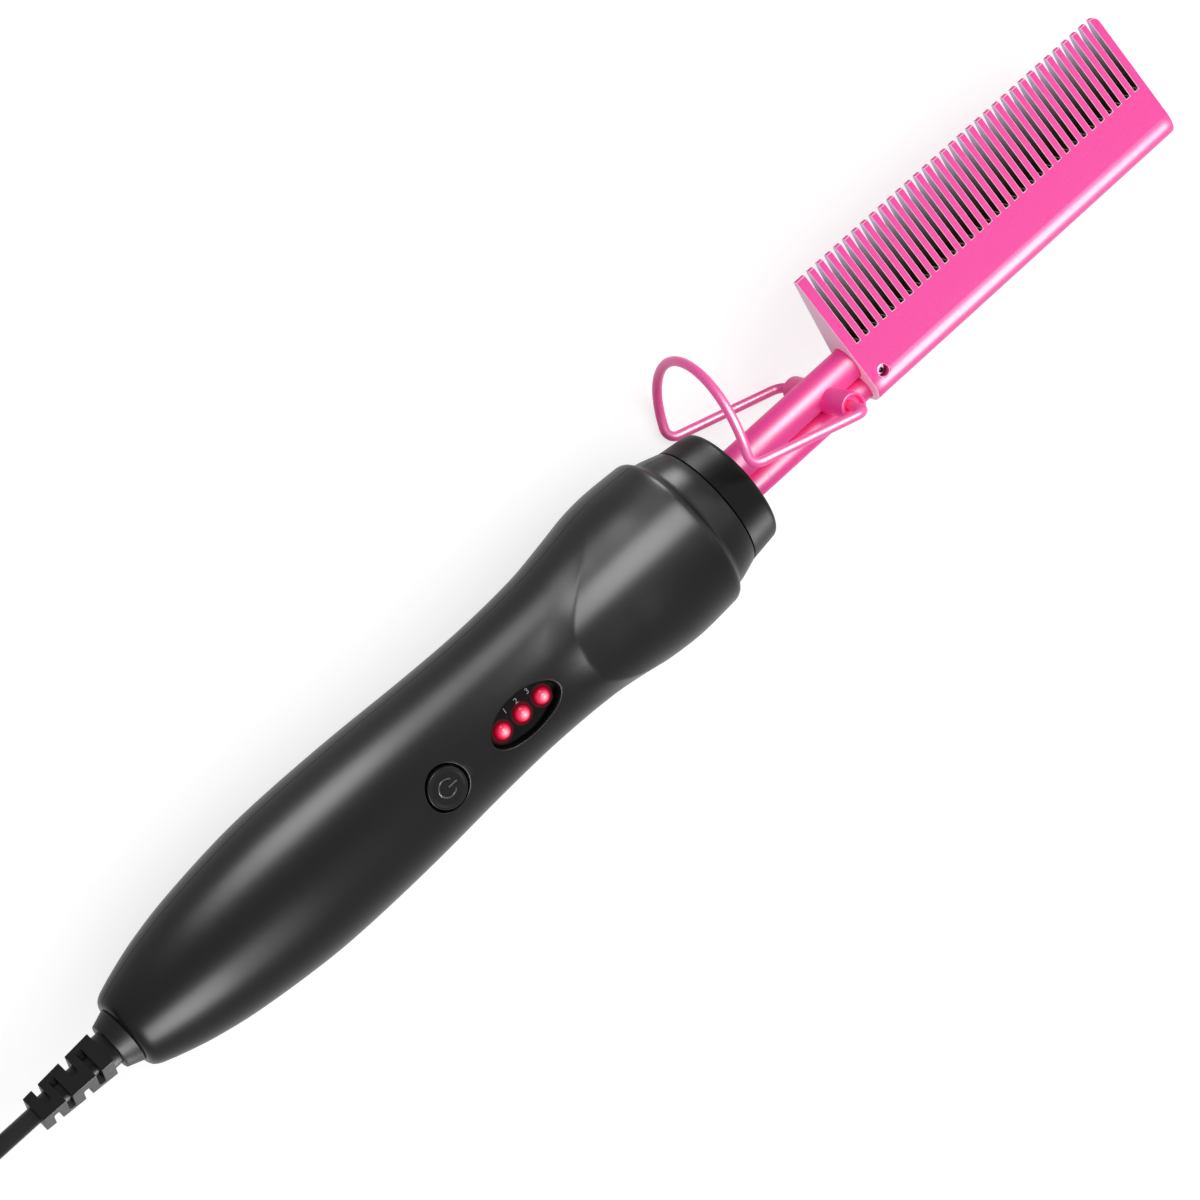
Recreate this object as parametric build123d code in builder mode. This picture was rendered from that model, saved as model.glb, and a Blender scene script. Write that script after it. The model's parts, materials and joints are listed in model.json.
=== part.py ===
"""Electric hot comb: a wedge-shaped heated comb on a two-tube stem, a moulded handle with one
button and three indicator lamps, a swinging wire stand and a mains cord put away in a coil.

The comb lies on a table with its button up.  X runs along the handle towards the comb's far end,
Y points to the teeth and Z is up.  The origin is under the middle of the comb, on the table.
"""

import os
from math import cos, pi, radians, sin, tan

from build123d import *

os.makedirs("parts", exist_ok=True)

# ---------------------------------------------------------------- driving dimensions, millimetres
# Stations run along the handle's axis from its tail face; radii are from that axis.
wall = 2.0
tail_face_radius = 7.3
tail_corner = (2.8, 9.2)
grip_points = [
    (12.3, 12.0), (22.0, 13.85), (38.0, 15.55), (50.0, 15.92), (67.0, 15.6),
    (86.0, 14.7), (100.3, 14.4), (114.5, 15.0), (124.0, 16.35), (130.5, 17.4),
]
bulge = (136.5, 17.75)
rim = (145.6, 17.3)
shoulder = (147.6, 15.5)
seam = (153.2, 13.85)

tongue_tail = (107.0, 15.25)
tongue_front = (127.5, 16.95)
crease_points = [(110.6, 15.8), (113.4, 13.9), (119.6, 10.7), (128.0, 6.6)]

collar_length = 7.4
collar_front_radius = 12.9
collar_edge = 1.3
collar_skirt_radius = 11.9
collar_skirt_wall = 1.6
collar_skirt_depth = 6.5
collar_mouth_radius = 8.6

button_station = 74.8
button_hole_radius = 4.75
button_radius = 4.3
button_top = 15.15

window_station = 95.7
window_length = 17.3
window_width = 9.0
panel_top = 12.7
lamp_radius = 1.8
lamp_pitch = 5.15
lamp_top = 14.1

board_length = 66.0
board_width = 19.0
board_station = 93.0
board_bottom = 4.0
board_thickness = 1.6

comb_start = 194.5
comb_length = 84.4
tooth_tip = 23.2
spine = -6.8
tip_half_thickness = 0.6
flank_slope = 0.207
spine_round = 4.6
slot_count = 33
slot_pitch = 2.471
slot_width = 1.05
slot_root = 6.4
first_slot = 2.93
tooth_corner = 2.5
spine_corner = 3.0

stem_radius = 3.6
stem_offset = 2.5
sensor_radius = 2.55
sensor_offset = -3.7
stem_wall = 0.7
stem_start = 146.0
stem_in_comb = 14.0

stand_station = 186.4
stand_offset = 0.3
stand_width = 33.5
stand_leg = 27.4
stand_angle = 16.8
stand_rise = 19.55
stand_bend = 2.6
wire_radius = 1.0
boss_radius = 2.8
boss_reach = 11.6
boss_bore = 1.03
pin_start = 7.4

relief_start = -5.4
relief_end = -22.4
relief_square = 7.5
relief_square_end = 5.9
neck_radius = 3.7
bush_length = 3.6
tail_hole = 4.4

cord_radius = 1.8
coil_centre = (-57.2, 22.0)
coil_mean_radius = 20.0
coil_section = 14.4

plug_length = 24.0
plug_width = 17.0
plug_height = 12.0
plug_heading = 180.0
tail_length = 27.0

# ---------------------------------------------------------------- places that follow from them
comb_end = comb_start + comb_length
lift = radians(stand_angle)
stand_reach = (
    stand_offset + stand_leg * sin(lift) + stand_rise * cos(lift) + wire_radius * cos(lift) * 1.045
)
tail_x = -(comb_end + relief_end) / 2
axis_y = -(stand_reach - bulge[1]) / 2
axis_z = bulge[1]
board_top = board_bottom + board_thickness

HANDLE_AXIS = Axis((tail_x, axis_y, axis_z), (1, 0, 0))

# Pieces stand on their plane or hang from it.
ABOVE = (Align.CENTER, Align.CENTER, Align.MIN)
BELOW = (Align.CENTER, Align.CENTER, Align.MAX)


def place(station, y=0.0, z=0.0):
    """A point given by its station and its offsets from the handle's axis."""
    return Vector(tail_x + station, axis_y + y, axis_z + z)


def elevation(y=0.0):
    """Plane with local x along the handle and local y up."""
    return Plane(origin=place(0, y), x_dir=(1, 0, 0), z_dir=(0, -1, 0))


def plan(height=0.0, station=0.0, y=0.0):
    """Plane with local x along the handle and local y towards the teeth."""
    return Plane(origin=place(station, y, height), x_dir=(1, 0, 0), z_dir=(0, 0, 1))


def section(station, y=0.0, z=0.0):
    """Plane across the handle, facing the comb, with local x to the teeth and local y up."""
    return Plane(origin=place(station, y, z), x_dir=(0, 1, 0), z_dir=(1, 0, 0))


def keep(piece, name):
    """Labels a finished piece and writes it."""
    piece.part.label = name
    export_step(piece.part, f"parts/{name}.step")


def turned(points):
    """Closed outline of (station, radius) points, for turning round the handle's axis."""
    Polyline(*points, close=True)


# ---------------------------------------------------------------- handle forms
def handle_outline(inset):
    """Half outline of the handle, drawn inset inwards: 0 is the outside, the wall is the cavity."""
    first = (tail_corner[0] + inset, tail_corner[1] - inset * 0.9)
    corner = (inset, tail_face_radius - inset * 0.9)
    grip = [(s, r - inset) for s, r in grip_points]
    top = (bulge[0], bulge[1] - inset)
    brim = (rim[0], rim[1] - inset)
    Line((inset, 0), corner)
    Line(corner, first)
    Spline(first, *grip, top, brim)
    if inset:
        mouth = (shoulder[0], collar_skirt_radius + 0.05)
        Line(brim, mouth)
        end = (seam[0] + 1, mouth[1])
        Line(mouth, end)
    else:
        mouth = shoulder
        end = seam
        Line(brim, mouth)
        Line(mouth, end)
    Line(end, (end[0], 0))
    Line((end[0], 0), (inset, 0))


with BuildPart() as grip_form:
    with BuildSketch(elevation()):
        with BuildLine():
            handle_outline(0)
        make_face()
    revolve(axis=HANDLE_AXIS)
    tail_edges = grip_form.edges().filter_by(GeomType.CIRCLE).sort_by(Axis.X)
    fillet(tail_edges[0], 1.2)
    rim_edges = grip_form.edges().filter_by(GeomType.CIRCLE).sort_by(Axis.X)
    fillet([e for e in rim_edges if abs(e.center().X - tail_x - rim[0]) < 0.01], 0.8)

# The raised tongue on the button side: a slightly fuller turned form, trimmed by the crease.
with BuildPart() as tongue:
    with BuildSketch(elevation()):
        with BuildLine():
            turned([
                (tongue_tail[0], 0), tongue_tail, tongue_front,
                (tongue_front[0] + 5, tongue_front[1] + 0.3), (tongue_front[0] + 5, 0),
            ])
        make_face()
    revolve(axis=HANDLE_AXIS)
    with BuildSketch(elevation()):
        with BuildLine():
            crease = Spline(*crease_points)
            Polyline(crease @ 1, (140, crease_points[-1][1]), (140, 25), (100, 25), crease @ 0)
        make_face()
    extrude(amount=30, both=True, mode=Mode.INTERSECT)

with BuildPart() as handle_form:
    add(grip_form.part)
    add(tongue.part)

with BuildPart() as cavity:
    with BuildSketch(elevation()):
        with BuildLine():
            handle_outline(wall)
        make_face()
    revolve(axis=HANDLE_AXIS)

# ---------------------------------------------------------------- handle shells
shell_screw_stations = (44.0, 133.5)
board_screw_stations = (64.0, 121.5)
boss_meeting = -6.0
screw_seat = -9.5
saddle_station = 21.0
saddle_length = 5.0
saddle_width = 15.0

with BuildPart() as upper_shell:
    add(handle_form.part)
    add(cavity.part, mode=Mode.SUBTRACT)
    with Locations(plan(0, 70)):
        Box(240, 60, 40, align=BELOW, mode=Mode.SUBTRACT)
    # Posts for the circuit board and for the shell screws hang from the roof.
    with Locations(*[plan(board_top, s) for s in board_screw_stations]):
        Cylinder(2.2, 20, align=ABOVE)
    with Locations(*[plan(boss_meeting, s) for s in shell_screw_stations]):
        Cylinder(2.8, 25, align=ABOVE)
    with Locations(*[plan(board_top, s) for s in board_screw_stations]):
        Cylinder(0.92, 4.5, align=ABOVE, mode=Mode.SUBTRACT)
    with Locations(*[plan(boss_meeting, s) for s in shell_screw_stations]):
        Cylinder(1.02, 10, align=ABOVE, mode=Mode.SUBTRACT)
    add(handle_form.part, mode=Mode.INTERSECT)
    # Round button hole, oval lamp window, and the tail opening for the cord bush.
    with Locations(plan(6, button_station)):
        Cylinder(button_hole_radius, 20, align=ABOVE, mode=Mode.SUBTRACT)
    with BuildSketch(plan(6, window_station)):
        Ellipse(window_length / 2, window_width / 2)
    extrude(amount=20, mode=Mode.SUBTRACT)
    with Locations(section(-1)):
        Cylinder(tail_hole, 5, align=ABOVE, mode=Mode.SUBTRACT)
keep(upper_shell, "upper_shell")

with BuildPart() as lower_shell:
    add(handle_form.part)
    add(cavity.part, mode=Mode.SUBTRACT)
    with Locations(plan(0, 70)):
        Box(240, 60, 40, align=ABOVE, mode=Mode.SUBTRACT)
    with Locations(*[plan(boss_meeting, s) for s in shell_screw_stations]):
        Cylinder(4.2, 20, align=BELOW)
    with Locations(plan(-1.0, saddle_station)):
        Box(saddle_length, saddle_width, 20, align=BELOW)
    add(handle_form.part, mode=Mode.INTERSECT)
    with Locations(*[plan(screw_seat, s) for s in shell_screw_stations]):
        Cylinder(2.8, 20, align=BELOW, mode=Mode.SUBTRACT)
        Cylinder(1.35, 20, align=ABOVE, mode=Mode.SUBTRACT)
    # Cord groove and the two pilot holes of the cord clamp.
    with Locations(section(saddle_station - saddle_length)):
        Cylinder(cord_radius, saddle_length * 2, align=ABOVE, mode=Mode.SUBTRACT)
    with Locations(plan(-1.0, saddle_station, 5), plan(-1.0, saddle_station, -5)):
        Cylinder(0.82, 5, align=BELOW, mode=Mode.SUBTRACT)
    with Locations(section(-1)):
        Cylinder(tail_hole, 5, align=ABOVE, mode=Mode.SUBTRACT)
keep(lower_shell, "lower_shell")

with BuildPart() as shell_screws:
    with Locations(*[plan(screw_seat, s) for s in shell_screw_stations]):
        Cylinder(2.5, 1.8, align=BELOW)
        Cylinder(1.0, 12, align=ABOVE)
    with Locations(*[plan(screw_seat - 1.8, s) for s in shell_screw_stations]):
        Box(3.0, 0.6, 1.4, mode=Mode.SUBTRACT)
        Box(0.6, 3.0, 1.4, mode=Mode.SUBTRACT)
keep(shell_screws, "shell_screws")

# ---------------------------------------------------------------- front collar and insulator
front = seam[0] + collar_length
front_wall = 3.0
with BuildPart() as front_collar:
    with BuildSketch(elevation()):
        with BuildLine():
            inner = collar_skirt_radius - collar_skirt_wall
            back = seam[0] - collar_skirt_depth
            turned([
                (back, inner), (back, collar_skirt_radius), (seam[0], collar_skirt_radius),
                seam, (front, collar_front_radius), (front, collar_mouth_radius),
                (front - front_wall, collar_mouth_radius), (front - front_wall, inner),
            ])
        make_face()
    revolve(axis=HANDLE_AXIS)
    edges = front_collar.edges().filter_by(GeomType.CIRCLE).group_by(Axis.X)[-1]
    fillet(edges.sort_by(SortBy.RADIUS)[-1], collar_edge)
keep(front_collar, "front_collar")

stem_places = [section(front - 20, stem_offset), section(front - 20, sensor_offset)]
with BuildPart() as heat_insulator:
    with BuildSketch(elevation()):
        with BuildLine():
            turned([
                (front - 8, 0), (front - 8, inner - 0.1), (front - front_wall, inner - 0.1),
                (front - front_wall, collar_mouth_radius - 0.05),
                (front - 0.8, collar_mouth_radius - 0.05), (front - 0.8, 0),
            ])
        make_face()
    revolve(axis=HANDLE_AXIS)
    with Locations(stem_places[0]):
        Cylinder(stem_radius, 40, align=ABOVE, mode=Mode.SUBTRACT)
    with Locations(stem_places[1]):
        Cylinder(sensor_radius, 40, align=ABOVE, mode=Mode.SUBTRACT)
    with Locations(section(front - 20, -0.9)):
        Box(0.8, 2.4, 40, align=ABOVE, mode=Mode.SUBTRACT)
keep(heat_insulator, "heat_insulator")

# ---------------------------------------------------------------- button and switch
button_flange_top = 11.3
button_flange = 5.4
stem_of_button = 2.2
switch_top = board_top + 3.5
plunger_top = switch_top + 1.1

with BuildPart() as power_button:
    with Locations(plan(plunger_top, button_station)):
        Cylinder(stem_of_button, button_flange_top - plunger_top, align=ABOVE)
    with Locations(plan(button_flange_top, button_station)):
        Cylinder(button_flange, 1.0, align=BELOW)
        Cylinder(button_radius, button_top - button_flange_top, align=ABOVE)
    fillet(power_button.edges().filter_by(GeomType.CIRCLE).sort_by(Axis.Z)[-1], 0.6)
keep(power_button, "power_button")

with BuildPart() as switch_plunger:
    with Locations(plan(plunger_top, button_station)):
        Cylinder(1.7, 2.4, align=BELOW)
keep(switch_plunger, "switch_plunger")

with BuildPart() as tact_switch:
    with Locations(plan(board_top, button_station)):
        Box(6, 6, switch_top - board_top, align=ABOVE)
    with Locations(plan(switch_top, button_station)):
        Cylinder(1.78, 2.1, align=BELOW, mode=Mode.SUBTRACT)
keep(tact_switch, "tact_switch")

# ---------------------------------------------------------------- lamp window
lamp_stations = [window_station + lamp_pitch * (i - 1) for i in range(3)]
with BuildPart() as indicator_panel:
    with BuildSketch(plan(panel_top - 2.1, window_station)):
        Ellipse(window_length / 2 - 0.1, window_width / 2 - 0.1)
    extrude(amount=2.1)
    with BuildSketch(plan(panel_top - 2.1, window_station)):
        Ellipse(window_length / 2 + 1.2, window_width / 2 + 0.9)
    extrude(amount=-1.2)
    with Locations(*[plan(panel_top - 6, s) for s in lamp_stations]):
        Cylinder(lamp_radius + 0.05, 10, align=ABOVE, mode=Mode.SUBTRACT)
keep(indicator_panel, "indicator_panel")

lamp_foot = 8.2
for level, station in zip(("low", "mid", "high"), lamp_stations):
    with BuildPart() as lamp:
        with Locations(plan(lamp_foot, station)):
            Cylinder(2.1, 0.8, align=ABOVE)
            Cylinder(lamp_radius, lamp_top - lamp_radius - lamp_foot, align=ABOVE)
        with Locations(plan(lamp_top - lamp_radius, station)):
            Sphere(lamp_radius)
        with Locations(plan(board_top, station, 1.27), plan(board_top, station, -1.27)):
            Cylinder(0.25, lamp_foot - board_top + 0.2, align=ABOVE)
    keep(lamp, f"lamp_{level}")

# ---------------------------------------------------------------- circuit board and what is on it
with BuildPart() as circuit_board:
    with BuildSketch(plan(board_bottom, board_station)):
        RectangleRounded(board_length, board_width, 2.0)
        with Locations(*[(s - board_station, 0) for s in board_screw_stations]):
            Circle(1.15, mode=Mode.SUBTRACT)
    extrude(amount=board_thickness)
keep(circuit_board, "circuit_board")

with BuildPart() as board_screws:
    with Locations(*[plan(board_bottom, s) for s in board_screw_stations]):
        Cylinder(1.8, 1.3, align=BELOW)
        Cylinder(0.9, 5.5, align=ABOVE)
keep(board_screws, "board_screws")

with BuildPart() as capacitor:
    with Locations(plan(board_bottom, 108)):
        Box(13, 11, 8, align=BELOW)
    fillet(capacitor.edges().filter_by(Axis.Z), 0.8)
keep(capacitor, "capacitor")

with BuildPart() as triac:
    with Locations(plan(board_bottom, 91)):
        Box(9, 10, 4.4, align=BELOW)
    with Locations(plan(board_bottom - 4.4, 93.5)):
        Box(14, 10, 1.2, align=BELOW)
    with Locations(plan(board_bottom, 98)):
        Cylinder(1.8, 20, mode=Mode.SUBTRACT)
keep(triac, "triac")

with BuildPart() as fuse:
    with Locations(plan(board_bottom - 2.4, 78)):
        Cylinder(2.4, 9, rotation=(90, 0, 0))
keep(fuse, "fuse")

# ---------------------------------------------------------------- stem, pivot bosses and comb
def tube(station, y, radius, length, thickness):
    """Plain round tube along the handle."""
    with Locations(section(station, y)):
        Cylinder(radius, length, align=ABOVE)
        Cylinder(radius - thickness, length, align=ABOVE, mode=Mode.SUBTRACT)


stem_length = comb_start + stem_in_comb - stem_start
with BuildPart() as stem_tube:
    tube(stem_start, stem_offset, stem_radius, stem_length, stem_wall)
keep(stem_tube, "stem_tube")

with BuildPart() as sensor_tube:
    tube(stem_start, sensor_offset, sensor_radius, stem_length - 2, 0.5)
keep(sensor_tube, "sensor_tube")

for side, name in ((1, "stand_boss_upper"), (-1, "stand_boss_lower")):
    root = plan(0, stand_station, stand_offset)
    outward = Plane(origin=root.origin, x_dir=(1, 0, 0), z_dir=(0, 0, side))
    with BuildPart() as stand_boss:
        with Locations(outward):
            Cylinder(boss_radius, boss_reach, align=ABOVE)
        with Locations(section(stand_station - 10, stem_offset)):
            Cylinder(stem_radius, 20, align=ABOVE, mode=Mode.SUBTRACT)
        with Locations(section(stand_station - 10, sensor_offset)):
            Cylinder(sensor_radius, 20, align=ABOVE, mode=Mode.SUBTRACT)
        with Locations(outward):
            Cylinder(boss_radius, 3.7, align=ABOVE, mode=Mode.SUBTRACT)
        with Locations(outward.offset(pin_start - 0.4)):
            Cylinder(boss_bore, 10, align=ABOVE, mode=Mode.SUBTRACT)
        with Locations(outward.offset(boss_reach - 1.6)):
            Cylinder(2.2, 2, align=ABOVE, mode=Mode.SUBTRACT)
    keep(stand_boss, name)

bore_clearance = 0.05
bore_depth = 72.0
with BuildPart() as comb_head:
    with BuildSketch(section(comb_start)):
        root_half = tip_half_thickness + flank_slope * (tooth_tip - spine)
        with BuildLine():
            Polyline(
                (tooth_tip, tip_half_thickness), (spine, root_half), (spine, -root_half),
                (tooth_tip, -tip_half_thickness), close=True,
            )
        make_face()
        fillet(vertices().group_by(Axis.X)[0], spine_round)
    extrude(amount=comb_length)
    with BuildSketch(plan(0)):
        with BuildLine():
            Polyline(
                (comb_start, spine), (comb_end, spine), (comb_end, tooth_tip),
                (comb_start, tooth_tip), close=True,
            )
        make_face()
        fillet(vertices().group_by(Axis.Y)[0].sort_by(Axis.X)[-1], spine_corner)
        fillet(vertices().group_by(Axis.Y)[-1].sort_by(Axis.X)[-1], tooth_corner)
    extrude(amount=20, both=True, mode=Mode.INTERSECT)
    # Teeth: one narrow slot after another, all to the same root line.
    with Locations(*[
        place(comb_start + first_slot + i * slot_pitch, (tooth_tip + slot_root) / 2 + 2)
        for i in range(slot_count)
    ]):
        Box(slot_width, tooth_tip - slot_root + 4, 20, mode=Mode.SUBTRACT)
    # Pocket for both tubes, and the deep bore of the heating element.
    with Locations(section(comb_start - 1, stem_offset)):
        Cylinder(stem_radius + bore_clearance, bore_depth + 1, align=ABOVE, mode=Mode.SUBTRACT)
    with Locations(section(comb_start - 1, sensor_offset)):
        Cylinder(sensor_radius + bore_clearance, stem_in_comb + 1, align=ABOVE, mode=Mode.SUBTRACT)
    with Locations(section(comb_start - 1, -1.2)):
        Box(2.0, 2.6, stem_in_comb + 1, align=ABOVE, mode=Mode.SUBTRACT)
    with Locations(plan(1.0, comb_start + 3.4, -1.2)):
        Cylinder(1.25, 8, align=ABOVE, mode=Mode.SUBTRACT)
keep(comb_head, "comb_head")

with BuildPart() as comb_screw:
    with Locations(plan(2.6, comb_start + 3.4, -1.2)):
        Cylinder(1.23, 2.0, align=ABOVE)
    with BuildSketch(plan(4.0, comb_start + 3.4, -1.2)):
        RegularPolygon(0.65, 6)
    extrude(amount=2, mode=Mode.SUBTRACT)
keep(comb_screw, "comb_screw")

heater_start = comb_start + stem_in_comb + 0.5
with BuildPart() as heating_element:
    with Locations(section(heater_start, stem_offset)):
        Cylinder(3.4, 52, align=ABOVE)
    chamfer(heating_element.edges().filter_by(GeomType.CIRCLE), 0.4)
keep(heating_element, "heating_element")

with BuildPart() as temperature_sensor:
    with Locations(section(comb_start + 4, sensor_offset)):
        Cylinder(1.7, 7, align=ABOVE)
    fillet(temperature_sensor.edges().filter_by(GeomType.CIRCLE), 0.8)
keep(temperature_sensor, "temperature_sensor")

# ---------------------------------------------------------------- swinging wire stand
def stand_point(out, leg, rise):
    """Point of the wire's centre line: out along Z, leg along the legs and rise along the arch."""
    return place(
        stand_station - leg * cos(lift) + rise * sin(lift),
        stand_offset + leg * sin(lift) + rise * cos(lift),
        out,
    )


half_width = stand_width / 2
arch_start = stand_rise - half_width
with BuildPart() as wire_stand:
    with BuildLine() as stand_line:
        FilletPolyline(
            stand_point(-pin_start, 0, 0), stand_point(-half_width, 0, 0),
            stand_point(-half_width, stand_leg, 0), stand_point(-half_width, stand_leg, arch_start),
            radius=stand_bend,
        )
        ThreePointArc(
            stand_point(-half_width, stand_leg, arch_start), stand_point(0, stand_leg, stand_rise),
            stand_point(half_width, stand_leg, arch_start),
        )
        FilletPolyline(
            stand_point(half_width, stand_leg, arch_start), stand_point(half_width, stand_leg, 0),
            stand_point(half_width, 0, 0), stand_point(pin_start, 0, 0),
            radius=stand_bend,
        )
    with BuildSketch(Plane(origin=stand_line.line @ 0, z_dir=(0, 0, -1))):
        Circle(wire_radius)
    sweep(path=stand_line.line)
keep(wire_stand, "wire_stand")

# ---------------------------------------------------------------- cord bush, relief and clamp
with BuildPart() as cord_bush:
    with BuildSketch(elevation()):
        with BuildLine():
            turned([
                (-bush_length, neck_radius), (-bush_length, 5.0), (0, 6.2), (0, tail_hole - 0.05),
                (wall + 0.1, tail_hole - 0.05), (wall + 0.1, 5.4), (wall + 1.7, 5.4),
                (wall + 1.7, neck_radius),
            ])
        make_face()
    revolve(axis=HANDLE_AXIS)
keep(cord_bush, "cord_bush")

relief_length = relief_start - relief_end
front_slots = (-8.9, -16.1)
back_slots = (-12.2, -19.3)
with BuildPart() as strain_relief:
    with BuildSketch(section(relief_end)):
        Rectangle(relief_square_end, relief_square_end, rotation=45)
    with BuildSketch(section(relief_start)):
        Rectangle(relief_square, relief_square, rotation=45)
    loft()
    with Locations(*[place(s, 0, 6.9) for s in front_slots]):
        Box(1.4, 20, 10, mode=Mode.SUBTRACT)
    with Locations(*[place(s, 0, -8.8) for s in back_slots]):
        Box(1.6, 20, 20, mode=Mode.SUBTRACT)
    with Locations(section(relief_end)):
        Cylinder(2.3, relief_length, align=ABOVE)
    with Locations(section(relief_start)):
        Cylinder(neck_radius, wall + 1.7 - relief_start, align=ABOVE)
    with Locations(section(wall + 1.7)):
        Cylinder(5.2, 1.8, align=ABOVE)
keep(strain_relief, "strain_relief")

sheath_start = wall + 3.5
with BuildPart() as cord_sheath:
    with Locations(section(sheath_start)):
        Cylinder(cord_radius, 28, align=ABOVE)
keep(cord_sheath, "cord_sheath")

with BuildPart() as cord_clamp:
    with Locations(plan(1.0, saddle_station)):
        Box(saddle_length, saddle_width - 1, 3, align=ABOVE)
    with Locations(section(saddle_station - saddle_length)):
        Cylinder(cord_radius, saddle_length * 2, align=ABOVE, mode=Mode.SUBTRACT)
    with Locations(plan(0, saddle_station, 5), plan(0, saddle_station, -5)):
        Cylinder(1.0, 10, align=ABOVE, mode=Mode.SUBTRACT)
    fillet(cord_clamp.edges().filter_by(Axis.X).group_by(Axis.Z)[-1], 0.6)
keep(cord_clamp, "cord_clamp")

with BuildPart() as clamp_screws:
    with Locations(plan(4.0, saddle_station, 5), plan(4.0, saddle_station, -5)):
        Cylinder(1.6, 1.2, align=ABOVE)
        Cylinder(0.8, 8.5, align=BELOW)
keep(clamp_screws, "clamp_screws")


def lead_pair(routes, name, bend):
    """Two round insulated leads, each bent through its own points."""
    with BuildPart() as leads:
        for points in routes:
            with BuildLine() as route:
                FilletPolyline(*points, radius=bend)
            with BuildSketch(Plane(origin=route.line @ 0, z_dir=route.line % 0)):
                Circle(lead_radius)
            sweep(path=route.line)
    keep(leads, name)


lead_radius = 0.6
lead_top = board_bottom - lead_radius
lead_pair([
    [
        place(sheath_start + 28, side * 0.9), place(36.5, side * 0.9), place(42, side * 5, 0.2),
        place(54, side * 5, 1.5), place(62, side * 5, 1.5), place(70, side * 5, lead_top),
    ]
    for side in (-1, 1)
], "mains_leads", 2.0)
lead_pair([
    [
        place(117, side * 5.5, lead_top), place(127, side * 5.5, lead_top - 0.4),
        place(136, side * 4.6, 0.4), place(145, stem_offset + side),
        place(heater_start, stem_offset + side),
    ]
    for side in (-1, 1)
], "heater_leads", 3.0)

# ---------------------------------------------------------------- free cord, coil and plug
def cord_run(points, name):
    """Cord tube of straight runs joined by arcs as large as the runs allow; prints their radii."""
    corners = [Vector(*p) for p in points]
    radii = []
    for a, b, c in zip(corners, corners[1:], corners[2:]):
        turn = radians((b - a).get_angle(c - b))
        radii.append(0.45 * min((b - a).length, (c - b).length) / tan(turn / 2))
    with BuildPart() as run:
        with BuildLine() as route:
            FilletPolyline(*corners, radius=radii)
        with BuildSketch(Plane(origin=route.line @ 0, z_dir=route.line % 0)):
            Circle(cord_radius)
        sweep(path=route.line)
    length = sum(edge.length for edge in route.edges())
    expected = length * pi * cord_radius**2
    print(name, "radii", [round(r) for r in radii], "length", round(length, 1))
    print(name, "volume", round(run.part.volume, 1), "expected", round(expected, 1))
    keep(run, name)


coil_x = tail_x + coil_centre[0]
coil_y = axis_y + coil_centre[1]
outer_turn = coil_mean_radius + coil_section / 2 - cord_radius
top_turn = coil_section - cord_radius
relief_tip = place(relief_end)
cord_run([
    (relief_tip.X, relief_tip.Y, relief_tip.Z),
    (relief_tip.X - 8.5, relief_tip.Y, relief_tip.Z),
    (relief_tip.X - 17, relief_tip.Y - 0.9, relief_tip.Z - 1.9),
    (relief_tip.X - 26, relief_tip.Y - 1.5, relief_tip.Z - 4.2),
    (coil_x, coil_y - outer_turn, top_turn),
], "cord")

with BuildPart() as cord_coil:
    with BuildSketch(Plane(origin=(coil_x, coil_y, 0), x_dir=(1, 0, 0), z_dir=(0, -1, 0))):
        with Locations((coil_mean_radius, coil_section / 2)):
            RectangleRounded(coil_section, coil_section, cord_radius)
    revolve(axis=Axis((coil_x, coil_y, 0), (0, 0, 1)))
keep(cord_coil, "cord_coil")

heading = radians(plug_heading)
leave = Vector(coil_x - outer_turn * sin(heading), coil_y + outer_turn * cos(heading), 0)
along = Vector(cos(heading), sin(heading), 0)


def beside(distance, height):
    """Point over the straight line on which the cord leaves its coil for the plug."""
    point = leave + along * distance
    return (point.X, point.Y, height)


cord_run([
    beside(-3.0, cord_radius), beside(6.0, cord_radius + 0.1), beside(18.0, plug_height / 2 - 0.8),
    beside(tail_length, plug_height / 2),
], "cord_tail")

plug_face = beside(tail_length, plug_height / 2)
plug_plane = Plane(origin=plug_face, x_dir=(-sin(heading), cos(heading), 0), z_dir=along)
with BuildPart() as plug_body:
    with BuildSketch(plug_plane):
        Circle(cord_radius + 0.9)
    with BuildSketch(plug_plane.offset(10)):
        Circle(4.6)
    loft()
    with BuildSketch(plug_plane.offset(10)):
        RectangleRounded(plug_width - 3, plug_height - 1.5, 3.5)
    with BuildSketch(plug_plane.offset(10 + plug_length)):
        RectangleRounded(plug_width, plug_height, 3.0)
    loft()
keep(plug_body, "plug_body")

with BuildPart() as plug_blades:
    with BuildSketch(plug_plane.offset(10 + plug_length)):
        with Locations((-6.35, 0), (6.35, 0)):
            Rectangle(1.5, 6.3)
    extrude(amount=16)
keep(plug_blades, "plug_blades")
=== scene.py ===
"""Looks of an electric hot comb: pink coated comb, stem and wire stand on a satin black handle.

The comb lies on a table with its button up.  Stations run along the handle's axis from its tail
face, in millimetres; y points to the teeth and z is up, both from that axis.
"""

import json
from math import atan2, cos, degrees, hypot, pi, radians, sin, sqrt, tan

import bpy
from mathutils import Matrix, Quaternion, Vector

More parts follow.
